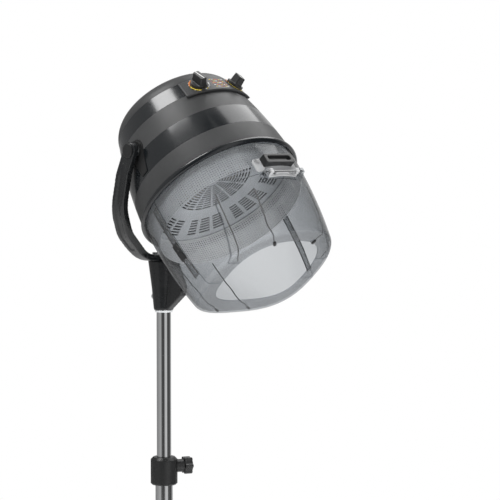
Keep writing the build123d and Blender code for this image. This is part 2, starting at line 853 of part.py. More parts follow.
with BuildPart() as control_panel:
    with BuildSketch(hood_section):
        with BuildLine():
            panel_foot = 143.5
            panel_top = 186.5
            panel_slope = sin(radians(control_lean)) / cos(radians(control_lean))
            foot_radius = knob_radial + 4.4 + (control_height - panel_foot) * panel_slope
            top_radius = knob_radial + 4.4 - (panel_top - control_height) * panel_slope
            Polyline(
                (casing_radius(panel_foot) - 6, panel_foot),
                (foot_radius, panel_foot),
                (top_radius, panel_top),
                (casing_radius(panel_top) - 6, panel_top),
                close=True,
            )
        make_face()
    revolve(axis=hood_axis)
    add(sector(34), mode=Mode.INTERSECT)
    add(casing_solid(135, 195, grow=0.1), mode=Mode.SUBTRACT)
    for knob_plane in (left_knob_plane, right_knob_plane):
        with BuildSketch(knob_plane.offset(-20)):
            Circle(4)
        extrude(amount=40, mode=Mode.SUBTRACT)
        with BuildSketch(knob_plane):
            Circle(knob_radius + 5)
        extrude(amount=12, mode=Mode.SUBTRACT)
control_panel.part.label = "control_panel"
export_step(control_panel.part, "parts/control_panel.step")

# Body depth behind each knob, and its footprint
switches = (
    ("timer_body", left_knob_plane, 34, 22),
    ("thermostat_body", right_knob_plane, 28, 18),
)
for name, knob_plane, footprint, depth in switches:
    with BuildPart() as switch_body:
        with BuildSketch(knob_plane.offset(-depth - 14)):
            RectangleRounded(footprint, footprint, 3)
        extrude(amount=depth)
        with BuildSketch(knob_plane.offset(-14.5)):
            Circle(3)
        extrude(amount=24)
    switch_body.part.label = name
    export_step(switch_body.part, f"parts/{name}.step")

# Heading of each knob's grip in the plane of its panel
knobs = (("timer_knob", left_knob_plane, 98), ("temperature_knob", right_knob_plane, 62))
for name, knob_plane, grip_heading in knobs:
    with BuildPart() as knob:
        with BuildSketch(knob_plane.offset(0.6)):
            Circle(knob_radius)
        extrude(amount=5)
        with BuildSketch(knob_plane.offset(5)):
            RectangleRounded(2 * knob_radius - 3, 16, 4, rotation=grip_heading)
        extrude(amount=17, taper=5)
        with BuildSketch(knob_plane):
            Circle(3 + running_gap)
        extrude(amount=10, mode=Mode.SUBTRACT)
    knob.part.label = name
    export_step(knob.part, f"parts/{name}.step")

lamp_drop = 19.8
lamp_radius = knob_radial + 4.4 + lamp_drop * panel_slope
lamp_plane = on_casing(-control_azimuth, control_height - lamp_drop, lamp_radius, control_lean)
with BuildPart() as pilot_lamp:
    with BuildSketch(lamp_plane.offset(0.1)):
        RectangleRounded(11, 5, 1.5)
    extrude(amount=3)
pilot_lamp.part.label = "pilot_lamp"
export_step(pilot_lamp.part, "parts/pilot_lamp.step")

with BuildPart() as cable_gland:
    with BuildSketch(gland_plane.offset(1.2)):
        RegularPolygon(radius=12, side_count=6)
    extrude(amount=12)
    with BuildSketch(gland_plane.offset(-14)):
        Circle(7)
    extrude(amount=15.3)
    with BuildSketch(gland_plane.offset(-15)):
        Circle(4)
    extrude(amount=40, mode=Mode.SUBTRACT)
cable_gland.part.label = "cable_gland"
export_step(cable_gland.part, "parts/cable_gland.step")

# ---------------------------------------------------------------- visor


def visor_solid(inset, foot):
    """Solid inside the visor's outline, shrunk by an inset and ending at a depth."""
    with BuildPart() as solid:
        for depth, *outline_sizes in visor_sections:
            last = depth == visor_depth
            with BuildSketch(hood_level(-foot if last else -depth)):
                with BuildLine():
                    outline = visor_outline(*outline_sizes, inset=inset)
                    Spline(*outline, periodic=True)
                make_face()
        loft()
    return solid


visor_outside = visor_solid(0, visor_depth)
with visor_outside:
    fillet(visor_outside.faces().sort_by(hood_axis)[0].edges(), radius=11)
visor_inside = visor_solid(visor_wall, visor_depth - visor_wall)
with visor_inside:
    fillet(visor_inside.faces().sort_by(hood_axis)[0].edges(), radius=9)


def door_region(grow):
    """Block that marks out the front door, with its notch; grow moves every edge outwards."""
    with BuildPart() as region:
        with BuildSketch(hood_front_plane(door_reach - grow)):
            with Locations((0, -door_top - 90 + grow / 2)):
                RectangleRounded(2 * (door_half_width + grow), 180 + grow, 26)
            with Locations((0, -door_top)):
                notch_height = 2 * (notch_bottom - door_top - grow)
                Rectangle(2 * (notch_half_width - grow), notch_height, mode=Mode.SUBTRACT)
        extrude(amount=200)
    return region.part


def half_space(keep_front):
    """Block that covers everything behind the split between the visor's shells, or in front of it."""
    with BuildPart() as block:
        with BuildSketch(hood_front_plane(shell_split)):
            with Locations((0, -100)):
                Rectangle(400, 260)
        extrude(amount=-220 if keep_front else 220)
    return block.part


def flange_solid():
    """Raised flange round the rear shell's front edge, outside the visor's wall."""
    with BuildPart() as flange:
        add(visor_solid(-flange_height, visor_depth).part)
        with BuildSketch(hood_front_plane(shell_split)):
            for direction in (1, -1):
                with Locations((direction * 150, -97)):
                    Rectangle(100, 164)
        extrude(amount=-flange_width, mode=Mode.INTERSECT)
        add(visor_outside.part, mode=Mode.SUBTRACT)
    return flange.part


with BuildPart() as visor_shell:
    add(visor_outside.part)
    add(visor_inside.part, mode=Mode.SUBTRACT)
    with BuildSketch(hood_level(-visor_depth - 5)):
        with BuildLine():
            Spline(*visor_outline(*visor_opening), periodic=True)
        make_face()
    extrude(amount=20, mode=Mode.SUBTRACT)

hinge_axis_point = rim_centre - dome_axis * hinge_depth + front * hinge_front
hinge_line = Plane(origin=hinge_axis_point, x_dir=-front, z_dir=side)
# Azimuth from the front and depth below the rim of each screw through the hinge plate
screw_spots = ((-15.7, 50), (15.7, 50), (-7.8, 81), (7.8, 81))
screw_planes = [on_casing(azimuth, -depth, 0, 0) for azimuth, depth in screw_spots]
plate_outer_radius = 162.8

with BuildPart() as visor_front:
    add(visor_shell.part)
    add(door_region(0), mode=Mode.INTERSECT)
    for direction in (1, -1):
        with BuildSketch(hinge_line.offset(direction * (notch_half_width + 1.5))):
            with BuildLine():
                Polyline((-4.5, 4), (-4.5, -5), (17, -12), (17, 4), close=True)
            make_face()
        extrude(amount=direction * 8)
    add(visor_inside.part, mode=Mode.SUBTRACT)
    with BuildSketch(hinge_line):
        Circle(hinge_pin_radius + running_gap)
    extrude(amount=100, both=True, mode=Mode.SUBTRACT)
visor_front.part.label = "visor_front"
export_step(visor_front.part, "parts/visor_front.step")

with BuildPart() as hinge_plate:
    with BuildSketch(hood_section):
        with Locations((161.6, -66)):
            Rectangle(2.4, 45)
    revolve(axis=hood_axis)
    with BuildSketch(hood_front_plane(0)):
        with Locations((0, -66)):
            RectangleRounded(2 * (notch_half_width - 1.5), 45, 5)
        with Locations((0, -58)):
            RectangleRounded(102, 29, 5)
    extrude(amount=200, mode=Mode.INTERSECT)
    for direction in (1, -1):
        with BuildSketch(hinge_line.offset(direction * (notch_half_width - 9))):
            with BuildLine():
                Polyline((-4.5, 4), (-4.5, -4), (8.8, -4), (8.8, 4), close=True)
            make_face()
        extrude(amount=direction * 7)
    with BuildSketch(hinge_line):
        Circle(hinge_pin_radius + seat_gap)
    extrude(amount=100, both=True, mode=Mode.SUBTRACT)
    for screw_plane in screw_planes:
        with BuildSketch(screw_plane.offset(140)):
            Circle(2 + seat_gap)
        extrude(amount=40, mode=Mode.SUBTRACT)
hinge_plate.part.label = "hinge_plate"
export_step(hinge_plate.part, "parts/hinge_plate.step")

with BuildPart() as hinge_pin:
    with BuildSketch(hinge_line):
        Circle(hinge_pin_radius)
    extrude(amount=notch_half_width + 11, both=True)
hinge_pin.part.label = "hinge_pin"
export_step(hinge_pin.part, "parts/hinge_pin.step")

with BuildPart() as visor_frame:
    add(visor_shell.part)
    add(half_space(keep_front=True), mode=Mode.SUBTRACT)
    add(door_region(door_gap), mode=Mode.SUBTRACT)
    for screw_plane in screw_planes:
        with BuildSketch(screw_plane.offset(140)):
            Circle(2 + seat_gap)
        extrude(amount=40, mode=Mode.SUBTRACT)
visor_frame.part.label = "visor_frame"
export_step(visor_frame.part, "parts/visor_frame.step")

with BuildPart() as visor_back:
    add(visor_shell.part)
    add(half_space(keep_front=False), mode=Mode.SUBTRACT)
    add(flange_solid())
visor_back.part.label = "visor_back"
export_step(visor_back.part, "parts/visor_back.step")

with BuildPart() as hinge_screws:
    for screw_plane in screw_planes:
        with BuildSketch(screw_plane.offset(plate_outer_radius - 7)):
            Circle(2)
        extrude(amount=7.3)
        with BuildSketch(screw_plane.offset(plate_outer_radius + 0.1)):
            Circle(4)
        extrude(amount=2)
hinge_screws.part.label = "hinge_screws"
export_step(hinge_screws.part, "parts/hinge_screws.step")

with BuildPart() as visor_grip:
    with BuildSketch(hood_front_plane(0)):
        with Locations((0, -55)):
            RectangleRounded(72, 21, 3)
    extrude(amount=174)
    with BuildSketch(hood_section):
        with BuildLine():
            Polyline((0, -40), (0, -75), (163, -75), (163, -40), close=True)
        make_face()
    revolve(axis=hood_axis, mode=Mode.SUBTRACT)
    with BuildSketch(hood_front_plane(169)):
        with Locations((0, -55)):
            RectangleRounded(56, 10, 3)
    extrude(amount=10, mode=Mode.SUBTRACT)
visor_grip.part.label = "visor_grip"
export_step(visor_grip.part, "parts/visor_grip.step")
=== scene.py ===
import json
from math import atan2, cos, pi, radians, sin, sqrt

import bmesh
import bpy
from mathutils import Matrix, Vector
from mathutils.bvhtree import BVHTree


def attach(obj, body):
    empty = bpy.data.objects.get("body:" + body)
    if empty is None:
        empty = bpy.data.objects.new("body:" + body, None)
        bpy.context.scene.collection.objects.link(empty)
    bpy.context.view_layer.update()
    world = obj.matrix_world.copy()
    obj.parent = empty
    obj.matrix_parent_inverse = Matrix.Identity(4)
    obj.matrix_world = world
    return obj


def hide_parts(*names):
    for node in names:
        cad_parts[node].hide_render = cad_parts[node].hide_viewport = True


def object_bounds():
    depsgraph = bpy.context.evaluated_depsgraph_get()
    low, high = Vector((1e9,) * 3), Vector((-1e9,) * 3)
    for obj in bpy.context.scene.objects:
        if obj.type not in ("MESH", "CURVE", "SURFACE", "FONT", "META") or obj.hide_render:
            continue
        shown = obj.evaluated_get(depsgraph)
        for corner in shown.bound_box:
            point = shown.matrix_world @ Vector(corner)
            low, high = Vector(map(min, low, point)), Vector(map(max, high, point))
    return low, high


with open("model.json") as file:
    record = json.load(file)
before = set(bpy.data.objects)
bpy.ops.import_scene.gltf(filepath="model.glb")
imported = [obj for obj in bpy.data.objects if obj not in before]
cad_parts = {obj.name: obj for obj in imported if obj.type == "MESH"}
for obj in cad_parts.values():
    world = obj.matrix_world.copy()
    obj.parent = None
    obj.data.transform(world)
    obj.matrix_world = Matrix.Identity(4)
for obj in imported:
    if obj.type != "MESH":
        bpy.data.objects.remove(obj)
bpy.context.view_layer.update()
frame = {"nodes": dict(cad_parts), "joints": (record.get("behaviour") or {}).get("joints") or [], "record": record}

# Looks of the hood hair dryer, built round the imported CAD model. Metres, Z up, the same frame as the CAD.

nodes = frame["nodes"]
joints = {joint["name"]: joint for joint in frame["joints"]}

# ---------------------------------------------------------------- hood frame, read from the joints

SIDE = Vector((1, 0, 0))
UP = Vector((0, 0, 1))
DOME = Vector(joints["fan_spin"]["axis"]).normalized()
FRONT = SIDE.cross(DOME)
PIVOT = Vector(joints["hood_tilt"]["pos_m"])
PIVOT_HEIGHT = 0.1135
RIM = PIVOT - DOME * PIVOT_HEIGHT


def hood_point(across, forward, height):
    """Point given sideways, towards the front and above the rim of the hood."""
    return RIM + SIDE * across + FRONT * forward + DOME * height


def round_hood(azimuth, radius, height):
    """Point round the hood's axis; azimuth is in degrees from the front towards +X."""
    turn = radians(azimuth)
    return hood_point(radius * sin(turn), radius * cos(turn), height)


def along_surface(direction, normal):
    """Unit vector nearest to a direction that lies in the surface with this normal."""
    return (direction - normal * direction.dot(normal)).normalized()


# ---------------------------------------------------------------- node helpers


class Nodes:
    """Small helper that adds and links nodes in one tree."""

    def __init__(self, tree, output_kind):
        self.tree = tree
        self.tree.nodes.clear()
        self.output = self.add(output_kind)

    def add(self, kind, **inputs):
        """New node; inputs are given by their socket names with _ for a space."""
        node = self.tree.nodes.new(kind)
        for key, value in inputs.items():
            node.inputs[key.replace("_", " ")].default_value = value
        return node

    def link(self, source, target):
        self.tree.links.new(source, target)

    def ramp(self, factor, *stops, interpolation="LINEAR"):
        """Colour along a ramp of (position, colour) stops."""
        ramp = self.add("ShaderNodeValToRGB")
        ramp.color_ramp.interpolation = interpolation
        elements = ramp.color_ramp.elements
        elements[0].position, elements[0].color = stops[0]
        elements[1].position, elements[1].color = stops[-1]
        for position, colour in stops[1:-1]:
            elements.new(position).color = colour
        self.link(factor, ramp.inputs["Fac"])
        return ramp.outputs["Color"]

    def mixed(self, share, first, second):
        """Two shaders mixed; the share is that of the second."""
        mix = self.add("ShaderNodeMixShader")
        self.link(share, mix.inputs["Fac"])
        self.link(first, mix.inputs[1])
        self.link(second, mix.inputs[2])
        return mix.outputs["Shader"]


class Shader(Nodes):
    """Nodes of one new material."""

    def __init__(self, name):
        self.material = bpy.data.materials.new(name)
        self.material.use_nodes = True
        super().__init__(self.material.node_tree, "ShaderNodeOutputMaterial")

    def noise(self, scale, detail=3.0, roughness=0.55, stretch=None):
        """Cloudy pattern fixed to the object, with its coordinates multiplied by an optional stretch."""
        noise = self.add("ShaderNodeTexNoise", Scale=scale, Detail=detail, Roughness=roughness)
        source = self.add("ShaderNodeTexCoord").outputs["Object"]
        if stretch:
            mapping = self.add("ShaderNodeMapping", Scale=stretch)
            self.link(source, mapping.inputs["Vector"])
            source = mapping.outputs["Vector"]
        self.link(source, noise.inputs["Vector"])
        return noise.outputs["Fac"]

    def spread(self, factor, low, high):
        """Factor from 0 to 1 spread from low to high."""
        spread = self.add("ShaderNodeMapRange", To_Min=low, To_Max=high)
        self.link(factor, spread.inputs["Value"])
        return spread.outputs["Result"]

    def bump(self, height, strength, distance):
        """Normal tilted by the slopes of a height pattern."""
        bump = self.add("ShaderNodeBump", Strength=strength, Distance=distance)
        self.link(height, bump.inputs["Height"])
        return bump.outputs["Normal"]

    def principled(self, **inputs):
        shader = self.add("ShaderNodeBsdfPrincipled", **inputs)
        self.link(shader.outputs["BSDF"], self.output.inputs["Surface"])
        return shader


# ---------------------------------------------------------------- materials


def grey(level, tint=0.0):
    """Opaque colour of a grey level, tinted towards blue."""
    return (level * (1 - tint), level, level * (1 + tint), 1)


def moulded(name, level, rough, grain=2500, grain_strength=0.12, tint=0.02, coat=0.0):
    """Moulded plastic: a fine spark-eroded grain, faint colour drift and uneven polish."""
    shader = Shader(name)
    body = shader.principled(IOR=1.5, Coat_Weight=coat, Coat_Roughness=0.08)
    drift = shader.noise(9, detail=4)
    colour = shader.ramp(drift, (0.3, grey(level * 0.82, tint)), (0.7, grey(level * 1.2, tint)))
    shader.link(colour, body.inputs["Base Color"])
    shader.link(shader.spread(shader.noise(35), rough - 0.06, rough + 0.07), body.inputs["Roughness"])
    fine = shader.bump(shader.noise(grain, detail=2), grain_strength, 0.0002)
    shader.link(fine, body.inputs["Normal"])
    return shader.material


def lacquered(name, level):
    """Gloss black moulding under lacquer: near mirror, with faint ripples, smears and dust."""
    shader = Shader(name)
    body = shader.principled(IOR=1.52, Coat_Weight=0.5, Coat_Roughness=0.14)
    drift = shader.noise(6, detail=5)
    colour = shader.ramp(drift, (0.35, grey(level, 0.25)), (0.75, grey(level * 1.6, 0.15)))
    shader.link(colour, body.inputs["Base Color"])
    smear = shader.noise(24, detail=6, stretch=(1, 1, 3))
    shader.link(shader.spread(smear, 0.15, 0.28), body.inputs["Roughness"])
    ripple = shader.bump(shader.noise(14, detail=1), 0.06, 0.002)
    shader.link(ripple, body.inputs["Normal"])
    return shader.material


def plated(name, level, rough, brushed=None):
    """Bright metal: chrome with faint polishing marks, or brushed steel when given a stretch."""
    shader = Shader(name)
    body = shader.principled(Metallic=1.0)
    drift = shader.noise(18, detail=4)
    colour = shader.ramp(drift, (0.3, grey(level * 0.93, 0.01)), (0.75, grey(level, 0.01)))
    shader.link(colour, body.inputs["Base Color"])
    marks = shader.noise(300, detail=3, stretch=brushed or (1, 1, 0.1))
    shader.link(shader.spread(marks, rough * 0.7, rough * 1.4), body.inputs["Roughness"])
    fine = shader.bump(marks, 0.2 if brushed else 0.05, 0.0001)
    shader.link(fine, body.inputs["Normal"])
    return shader.material


def sheet_metal(name, level, rough):
    """Dull anodised sheet: part metal, part pale oxide, with a fine rolled grain."""
    shader = Shader(name)
    body = shader.principled(Metallic=0.15)
    drift = shader.noise(60, detail=4)
    colour = shader.ramp(drift, (0.3, grey(level * 0.88)), (0.75, grey(level)))
    shader.link(colour, body.inputs["Base Color"])
    grain = shader.noise(800, detail=2, stretch=(1, 1, 0.15))
    shader.link(shader.spread(grain, rough * 0.8, rough * 1.2), body.inputs["Roughness"])
    shader.link(shader.bump(grain, 0.08, 0.0001), body.inputs["Normal"])
    return shader.material


def smoked(name, clear, haze, rough, veil_level=0.36):
    """Thin clear moulding that tints what is behind it, shines at a slant and carries a faint haze."""
    shader = Shader(name)
    facing = shader.add("ShaderNodeLayerWeight", Blend=0.5).outputs["Facing"]
    tint = shader.ramp(facing, (0.0, grey(clear, 0.012)), (1.0, grey(clear * 0.72, 0.02)))
    see_through = shader.add("ShaderNodeBsdfTransparent")
    shader.link(tint, see_through.inputs["Color"])
    veil = shader.add("ShaderNodeBsdfDiffuse")
    cloud = shader.ramp(shader.noise(5), (0.3, grey(veil_level * 0.85)), (0.7, grey(veil_level * 1.15)))
    shader.link(cloud, veil.inputs["Color"])
    veil_share = shader.spread(shader.noise(7, detail=5), haze * 0.6, haze * 1.4)
    veiled = shader.mixed(veil_share, see_through.outputs["BSDF"], veil.outputs["BSDF"])
    shine = shader.add("ShaderNodeBsdfGlossy")
    polish = shader.spread(shader.noise(40, detail=4), rough * 0.6, rough * 1.6)
    shader.link(polish, shine.inputs["Roughness"])
    ripple = shader.bump(shader.noise(10, detail=1), 0.08, 0.002)
    shader.link(ripple, shine.inputs["Normal"])
    slant = shader.add("ShaderNodeMath")
    slant.operation = "POWER"
    slant.inputs[1].default_value = 4.5
    shader.link(facing, slant.inputs[0])
    mirror_share = shader.spread(slant.outputs["Value"], 0.04, 0.8)
    surface = shader.mixed(mirror_share, veiled, shine.outputs["BSDF"])
    shader.link(surface, shader.output.inputs["Surface"])
    return shader.material


def ink(name, colour):
    """Matt printing ink, a little worn in spots."""
    shader = Shader(name)
    body = shader.principled(Roughness=0.45)
    worn = [channel * 0.8 for channel in colour]
    cover = shader.ramp(shader.noise(700), (0.3, (*worn, 1)), (0.6, (*colour, 1)))
    shader.link(cover, body.inputs["Base Color"])
    shader.link(shader.bump(shader.noise(2000), 0.1, 0.0001), body.inputs["Normal"])
    return shader.material


def light_floor():
    """Pale floor with a soft mottle."""
    shader = Shader("pale_floor")
    body = shader.principled(Roughness=0.6)
    mottle = shader.ramp(shader.noise(3), (0.3, grey(0.78)), (0.7, grey(0.84)))
    shader.link(mottle, body.inputs["Base Color"])
    return shader.material


BRUSHED = (1, 1, 0.2)
MATERIALS = {
    "base_plastic": moulded("base_nylon", 0.022, 0.4),
    "caster_plastic": moulded("caster_nylon", 0.02, 0.42),
    "wheel_tread": moulded("wheel_nylon", 0.026, 0.36),
    "steel_pin": plated("zinc_steel", 0.62, 0.3, brushed=BRUSHED),
    "chrome_tube": plated("chrome_plate", 0.82, 0.07),
    "bush_plastic": moulded("acetal", 0.72, 0.4, grain_strength=0.05),
    "collar_plastic": moulded("collar_nylon", 0.012, 0.34),
    "knob_plastic": moulded("knob_black", 0.014, 0.3, coat=0.2),
    "fork_metal": moulded(
        "powder_coat", 0.009, 0.26, grain=1500, grain_strength=0.04, tint=0.1, coat=0.25
    ),
    "casing_matte": moulded("casing_grey", 0.042, 0.42),
    "casing_gloss": lacquered("casing_lacquer", 0.006),
    "bead_gloss": lacquered("bead_lacquer", 0.006),
    "mesh_metal": sheet_metal("mesh_sheet", 0.92, 0.5),
    "diffuser_plastic": moulded("diffuser_grey", 0.5, 0.45, grain_strength=0.06),
    "motor_steel": plated("motor_zinc", 0.5, 0.35, brushed=BRUSHED),
    "mica": moulded("mica_sheet", 0.4, 0.5, tint=-0.15),
    "heater_wire": plated("heater_wire", 0.4, 0.4),
    "switch_plastic": moulded("phenolic", 0.6, 0.45),
    "panel_plastic": moulded("panel_grey", 0.042, 0.42),
    "lamp_lens": moulded("lamp_lens", 0.03, 0.15, coat=1.0),
    "visor_clear": smoked("smoked_polycarbonate", 0.85, 0.02, 0.09),
    "hinge_clear": smoked("clear_polycarbonate", 0.95, 0.4, 0.12, veil_level=0.75),
}
INK_RED = ink("print_red", (0.62, 0.05, 0.02))
INK_ORANGE = ink("print_orange", (0.75, 0.22, 0.02))
INK_YELLOW = ink("print_yellow", (0.80, 0.60, 0.06))
INK_WHITE = ink("print_white", (0.82, 0.82, 0.80))
RIB = smoked("rib_polycarbonate", 0.16, 0.25, 0.1)
STRIP = smoked("strip_polycarbonate", 0.7, 0.1, 0.12)

slot_of_node = {entry["node"]: entry["material_slot"] for entry in frame["record"]["subparts"]}
for node_name, node in nodes.items():
    node.data.materials.clear()
    node.data.materials.append(MATERIALS[slot_of_node[node_name]])

# ---------------------------------------------------------------- piece helpers


def new_piece(name, mesh, body, slot, material=None):
    """Object that rides on a body and takes the finish of a record slot, or a material of its own."""
    piece = bpy.data.objects.new(name, mesh)
    bpy.context.scene.collection.objects.link(piece)
    mesh.materials.clear()
    mesh.materials.append(material or MATERIALS[slot])
    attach(piece, body)
    return piece


def mesh_from(name, shape):
    """Mesh data from a bmesh, with all faces turned outwards."""
    mesh = bpy.data.meshes.new(name)
    bmesh.ops.recalc_face_normals(shape, faces=shape.faces)
    shape.to_mesh(mesh)
    shape.free()
    return mesh


def shade_by_angle(mesh, angle):
    """Smooth shading, with edges sharper than an angle in degrees kept crisp."""
    mesh.polygons.foreach_set("use_smooth", [True] * len(mesh.polygons))
    mesh.set_sharp_from_angle(angle=radians(angle))


def applied(piece):
    """Replace a piece's mesh by the result of its modifiers."""
    depsgraph = bpy.context.evaluated_depsgraph_get()
    mesh = bpy.data.meshes.new_from_object(piece.evaluated_get(depsgraph))
    piece.modifiers.clear()
    piece.data = mesh
    return piece


def softened(node_name, body, voxel, rounds):
    """Copy of a CAD node with its edges rounded as a moulding's are; it stands for the node."""
    piece = bpy.data.objects.new(f"{node_name}_soft", nodes[node_name].data.copy())
    bpy.context.scene.collection.objects.link(piece)
    remesh = piece.modifiers.new("remesh", "REMESH")
    remesh.mode = "VOXEL"
    remesh.voxel_size = voxel
    smooth = piece.modifiers.new("smooth", "SMOOTH")
    smooth.factor = 0.5
    smooth.iterations = rounds
    applied(piece)
    shade_by_angle(piece.data, 60)
    slot = slot_of_node[node_name]
    piece.data.materials.clear()
    piece.data.materials.append(MATERIALS[slot])
    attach(piece, body)
    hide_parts(node_name)


def tree_of(*names):
    """One ray-casting tree of some CAD nodes, in world coordinates."""
    points = []
    triangles = []
    for name in names:
        node = nodes[name]
        first = len(points)
        points += [node.matrix_world @ vertex.co for vertex in node.data.vertices]
        node.data.calc_loop_triangles()
        for triangle in node.data.loop_triangles:
            triangles.append([first + index for index in triangle.vertices])
    return BVHTree.FromPolygons(points, triangles)


# ---------------------------------------------------------------- perforated ring inside the rim


def revolved_grid(radii_heights, columns, keep=None):
    """Grid of quads turned round the hood's axis; keep(column, row) drops the faces it refuses."""
    shape = bmesh.new()
    rings = []
    for radius, height in radii_heights:
        ring = []
        for column in range(columns):
            ring.append(shape.verts.new(round_hood(360 * column / columns, radius, height)))
        rings.append(ring)
    for row, (lower, upper) in enumerate(zip(rings, rings[1:])):
        for column in range(columns):
            if keep and not keep(column, row):
                continue
            following = (column + 1) % columns
            shape.faces.new((lower[column], lower[following], upper[following], upper[column]))
    loose = [vertex for vertex in shape.verts if not vertex.link_faces]
    bmesh.ops.delete(shape, geom=loose, context="VERTS")
    return shape


def revolved_bar(name, inner, outer, bottom, top):
    """Ring of a rectangular section round the hood's axis."""
    corners = [(inner, bottom), (inner, top), (outer, top), (outer, bottom)]
    shape = revolved_grid(corners + corners[:1], 180)
    piece = new_piece(name, mesh_from(name, shape), "hood", "mesh_metal")
    shade_by_angle(piece.data, 40)


def thicken(piece, thickness, offset):
    """Give a sheet a wall; the offset says to which side, from -1 to 1."""
    solidify = piece.modifiers.new("thickness", "SOLIDIFY")
    solidify.thickness = thickness
    solidify.offset = offset
    applied(piece)


def build_mesh_ring():
    """Perforated sheet with square holes, its hem below and the flange that holds it above."""
    radius = 0.1505
    foot = -0.05
    height = 0.0541
    columns = 196
    rows = 12
    half_bar = 0.0011
    profile = [(radius, foot + height / rows * row) for row in range(rows + 1)]
    sheet = revolved_grid(profile, columns)
    bmesh.ops.inset_individual(sheet, faces=sheet.faces[:], thickness=half_bar, use_even_offset=True)
    holes = [face for face in sheet.faces if all(len(vertex.link_faces) == 3 for vertex in face.verts)]
    bmesh.ops.delete(sheet, geom=holes, context="FACES_ONLY")
    ring = new_piece("perforated_ring", mesh_from("perforated_ring", sheet), "hood", "mesh_metal")
    thicken(ring, 0.0009, 0)
    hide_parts("mesh_ring")
    revolved_bar("perforated_ring_hem", 0.1497, 0.1513, -0.0497, -0.0507)
    revolved_bar("perforated_ring_flange", 0.1499, 0.1554, 0.0042, 0.0059)


# ---------------------------------------------------------------- slotted air diffuser

DIFFUSER_APEX = 0.0334
DIFFUSER_EDGE = (0.150, 0.008)
DIFFUSER_FLANGE = 0.1555
DIFFUSER_HUB = 0.006
DIFFUSER_COLUMNS = 216
SLOT_PITCH = 0.0062
SLOT_WIDTH = 0.0034
# Zones of slots, from radius to radius
SLOT_ZONES = (("rosette", 0.014, 0.080), ("edge", 0.106, 0.144))
# Columns from one spoke of the rosette to the next, and from one group of edge slots to the next
SPOKE_PITCH = 18
GROUP_PITCH = 27
GROUP_RIBS = (9, 10, 17, 18)


def diffuser_height(radius):
    """Height of the shallow dome, an arc from its edge to its apex."""
    reach, edge_height = DIFFUSER_EDGE
    rise = DIFFUSER_APEX - edge_height
    sphere = (reach**2 + rise**2) / (2 * rise)
    return DIFFUSER_APEX - sphere + sqrt(sphere**2 - radius**2)


def heading(vertex):
    """Angle of a vertex round the hood's axis."""
    offset = vertex.co - RIM
    return atan2(offset.dot(SIDE), offset.dot(FRONT))


def build_diffuser():
    """Shallow dome with a rosette of arc slots in the middle and groups of slots round the edge."""
    radii = [DIFFUSER_HUB]
    zone_of_row = {}
    for zone, inner, outer in SLOT_ZONES:
        radius = inner
        while radius + SLOT_WIDTH < outer:
            radii.append(radius)
            zone_of_row[len(radii) - 1] = zone
            radii.append(radius + SLOT_WIDTH)
            radius += SLOT_PITCH
    radii += [DIFFUSER_EDGE[0], DIFFUSER_FLANGE]
    profile = [(radius, diffuser_height(min(radius, DIFFUSER_EDGE[0]))) for radius in radii]

    def keep(column, row):
        """Whether a face is solid: plain rows, spokes, and the bars between and inside the groups."""
        zone = zone_of_row.get(row)
        if zone is None:
            return True
        if zone == "edge":
            place = column % GROUP_PITCH
            return place < 3 or place >= GROUP_PITCH - 3 or place in GROUP_RIBS
        place = column % SPOKE_PITCH
        half_spoke = 1 if radii[row] > 0.04 else 2
        thin_spoke = place == SPOKE_PITCH // 2 and radii[row] > 0.045
        return place < half_spoke or place >= SPOKE_PITCH - half_spoke or thin_spoke

    sheet = revolved_grid(profile, DIFFUSER_COLUMNS, keep)
    hub_ring = list(sheet.verts)[:DIFFUSER_COLUMNS]
    sheet.faces.new(sorted(hub_ring, key=heading))
    plate = new_piece("slotted_diffuser", mesh_from("slotted_diffuser", sheet), "hood", "diffuser_plastic")
    thicken(plate, 0.0022, 0.9)
    shade_by_angle(plate.data, 35)
    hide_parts("diffuser")


# ---------------------------------------------------------------- ribs and strips on the visor

visor_nodes = [name for name in nodes if name.startswith("visor_") and name != "visor_grip"]
visor_tree = tree_of(*visor_nodes)
# Depth of the point inside the visor from which its surface faces outwards, at most
VISOR_MIDDLE_DEPTH = 0.15

# Corners of each line for the +X side, as (across, forward, depth below the rim)
DOOR_EDGE = (
    (0.1235, 0.098, 0.078), (0.1235, 0.094, 0.12), (0.1235, 0.088, 0.165),
    (0.120, 0.079, 0.192), (0.108, 0.052, 0.2),
)
DOOR_RIB = (
    (0.071, 0.146, 0.100), (0.070, 0.136, 0.140), (0.069, 0.124, 0.175),
    (0.062, 0.118, 0.196), (0.050, 0.101, 0.2),
)
BACK_RIB = (
    (0.046, -0.148, 0.056), (0.044, -0.140, 0.110), (0.042, -0.128, 0.160), (0.041, -0.117, 0.190),
)
SIDE_STRIP = (
    (0.162, -0.021, 0.017), (0.159, -0.021, 0.080), (0.153, -0.021, 0.130), (0.144, -0.021, 0.176),
)
# Distance from the middle of a strip to the ridge along each of its edges
STRIP_EDGE = 0.0058
LATCH_MIDDLE = (-0.154, -0.021, 0.118)
LATCH_END = (-0.153, -0.021, 0.150)
# Depth of a ribbon's foot below the visor's surface
SUNK = 0.0001
# Outline of a ribbon's section above its foot, as shares of its width and height
RIBBON_SECTION = ((-0.5, 0), (-0.42, 0.75), (-0.2, 1), (0.2, 1), (0.42, 0.75), (0.5, 0))


def on_visor(across, forward, depth):
    """Nearest point of the visor's surface, with its outward normal."""
    place, normal, _, _ = visor_tree.find_nearest(hood_point(across, forward, -depth))
    outward = place - hood_point(0, 0, -min(depth, VISOR_MIDDLE_DEPTH))
    return place, normal if normal.dot(outward) > 0 else -normal


def averaged(before, here, after):
    """A place and normal evened out with their neighbours."""
    place = (before[0] + here[0] * 2 + after[0]) / 4
    normal = (before[1] + here[1] * 2 + after[1]).normalized()
    return place, normal


